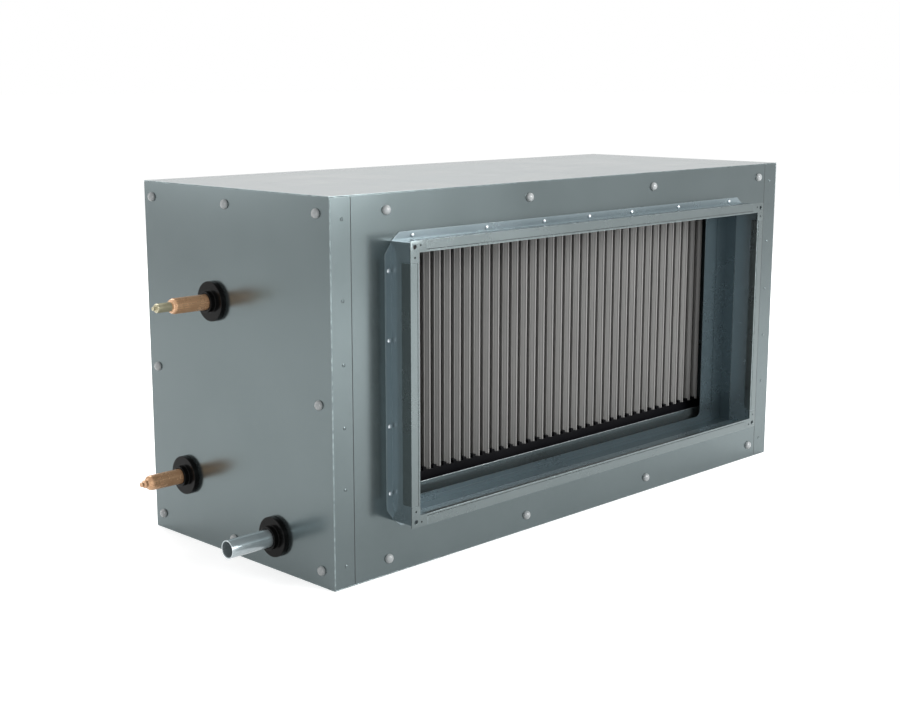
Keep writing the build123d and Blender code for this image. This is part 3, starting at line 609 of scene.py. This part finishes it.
def blade():
    """One blade about its own x = 0, standing upright: a wave, its nose bead and two drip hooks."""
    steps = 16
    bm = bmesh.new()
    shares = [step / steps for step in range(steps + 1)]
    upright(bm, [(-7.0 * math.sin(share * math.tau), BLADE_FRONT + BLADE_DEPTH * share)
                 for share in shares], 1.3)
    upright(bm, drip_hook(-1, BLADE_FRONT + BLADE_DEPTH * 0.25), 1.1)
    upright(bm, drip_hook(1, BLADE_FRONT + BLADE_DEPTH * 0.75), 1.1)
    bead = bmesh.ops.create_circle(bm, cap_ends=True, segments=12, radius=NOSE * MM)["verts"]
    bmesh.ops.translate(bm, vec=(0, (BLADE_FRONT + NOSE) * MM, BLADE_LOW * MM), verts=bead)
    round_end = [face for face in bead[0].link_faces]
    raised = bmesh.ops.extrude_face_region(bm, geom=round_end)["geom"]
    tops = [item for item in raised if isinstance(item, bmesh.types.BMVert)]
    bmesh.ops.translate(bm, vec=(0, 0, (BLADE_HIGH - BLADE_LOW) * MM), verts=tops)
    bmesh.ops.recalc_face_normals(bm, faces=bm.faces)
    mesh = bpy.data.meshes.new("blade")
    bm.to_mesh(mesh)
    bm.free()
    return mesh


first_blade = -BLADE_PITCH * (BLADE_COUNT - 1) / 2
stamped("eliminator_blade_row", blade(),
        [Matrix.Translation(((first_blade + BLADE_PITCH * number) * MM, 0, 0)) for number in range(BLADE_COUNT)],
        "blade_plastic", ("eliminator_blades",))


# Fins: thin corrugated plates at their real pitch

def fin():
    """One fin about its own x = 0: a shallow zigzag across the air stream."""
    low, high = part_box("fin_pack")
    folds = 18
    bm = bmesh.new()
    row = []
    for fold in range(folds + 1):
        y = low[1] + (high[1] - low[1]) * fold / folds
        row.append(bm.verts.new(((0.35 if fold % 2 else -0.35) * MM, y, low[2])))
    line = [bm.edges.new(pair) for pair in zip(row, row[1:])]
    lifted = bmesh.ops.extrude_edge_only(bm, edges=line)["geom"]
    tops = [item for item in lifted if isinstance(item, bmesh.types.BMVert)]
    bmesh.ops.translate(bm, vec=(0, 0, high[2] - low[2]), verts=tops)
    bmesh.ops.recalc_face_normals(bm, faces=bm.faces)
    bmesh.ops.solidify(bm, geom=bm.faces[:], thickness=0.18 * MM)
    mesh = bpy.data.meshes.new("fin")
    bm.to_mesh(mesh)
    bm.free()
    return mesh


FIN_PITCH = 2.5
FIN_END = 513.0
FIN_COUNT = int(2 * FIN_END / FIN_PITCH) + 1
stamped("fin_stack", fin(),
        [Matrix.Translation(((-FIN_END + FIN_PITCH * number) * MM, 0, 0)) for number in range(FIN_COUNT)],
        "fins", ("fin_pack",))


# Camera, floor and light

camera = bpy.data.objects.new("camera", bpy.data.cameras.new("camera"))
camera.location = (-2.1389, -2.0156, 0.8466)
camera.rotation_euler = (math.radians(79.060), 0.0, math.radians(-45.144))
camera.data.lens = 57.706
camera.data.sensor_width = 36.0
bpy.context.scene.collection.objects.link(camera)
bpy.context.scene.camera = camera


def seen(tree):
    """1 where the camera looks straight at it, or through or off the object; 0 for its light."""
    path = node(tree, "LightPath")
    total = math_node(tree, "MAXIMUM", path.outputs["Is Camera Ray"], path.outputs["Is Glossy Ray"])
    return math_node(tree, "MAXIMUM", total, path.outputs["Is Transmission Ray"])


def stage_floor():
    bm = bmesh.new()
    bmesh.ops.create_grid(bm, x_segments=1, y_segments=1, size=60.0)
    bmesh.ops.translate(bm, vec=(0, 0, -0.2 * MM), verts=bm.verts)
    mesh = bpy.data.meshes.new("floor")
    bm.to_mesh(mesh)
    bm.free()
    floor = bpy.data.objects.new("floor", mesh)
    bpy.context.scene.collection.objects.link(floor)
    material = bpy.data.materials.new("pale floor")
    material.use_nodes = True
    tree = material.node_tree
    tree.nodes.clear()
    glow = math_node(tree, "MULTIPLY", seen(tree), 0.6)
    shader = node(tree, "BsdfPrincipled", {"Base Color": (0.7, 0.7, 0.7, 1.0), "Roughness": 0.9,
                                           "Specular IOR Level": 0.0,
                                           "Emission Color": (1.0, 1.0, 1.0, 1.0),
                                           "Emission Strength": glow})
    output = node(tree, "OutputMaterial")
    tree.links.new(shader.outputs["BSDF"], output.inputs["Surface"])
    mesh.materials.append(material)


stage_floor()

WORLD_LIGHT = 0.6
world = bpy.data.worlds.new("studio")
world.use_nodes = True
bpy.context.scene.world = world
sky = world.node_tree
sky.nodes.clear()
extra = math_node(sky, "MULTIPLY", seen(sky), 1.0 - WORLD_LIGHT)
strength = math_node(sky, "ADD", extra, WORLD_LIGHT)
background = node(sky, "Background", {"Color": (1.0, 1.0, 1.0, 1.0), "Strength": strength})
sky.links.new(background.outputs[0], node(sky, "OutputWorld").inputs["Surface"])


def softbox(name, place, aim, size, power):
    light = bpy.data.lights.new(name, "AREA")
    light.shape = "DISK"
    light.size = size
    light.energy = power
    lamp = bpy.data.objects.new(name, light)
    lamp.location = place
    lamp.rotation_euler = (Vector(aim) - Vector(place)).to_track_quat("-Z", "Y").to_euler()
    lamp.visible_camera = False
    bpy.context.scene.collection.objects.link(lamp)


softbox("front low softbox", (1.2, -2.8, 1.0), (0.0, 0.0, 0.3), 1.2, 33.0)
softbox("front softbox", (0.6, -3.2, 1.6), (0.0, 0.0, 0.3), 1.6, 55.0)
softbox("left softbox", (-3.4, -2.8, 1.4), (-0.7, 0.0, 0.4), 1.2, 22.0)
softbox("end softbox", (-2.4, 2.4, 1.0), (0.0, 0.0, 0.3), 1.2, 7.0)
softbox("high end softbox", (-3.0, 2.2, 2.4), (-0.6, 0.0, 0.3), 0.9, 8.0)
softbox("back softbox", (0.3, 3.0, 3.2), (0.0, 0.0, 0.6), 2.2, 45.0)
softbox("right softbox", (3.1, 0.5, 3.2), (0.0, 0.0, 0.6), 1.8, 60.0)
softbox("top softbox", (1.6, 2.0, 3.8), (0.0, 0.0, 0.3), 2.8, 110.0)

bpy.context.scene.view_settings.view_transform = "Standard"
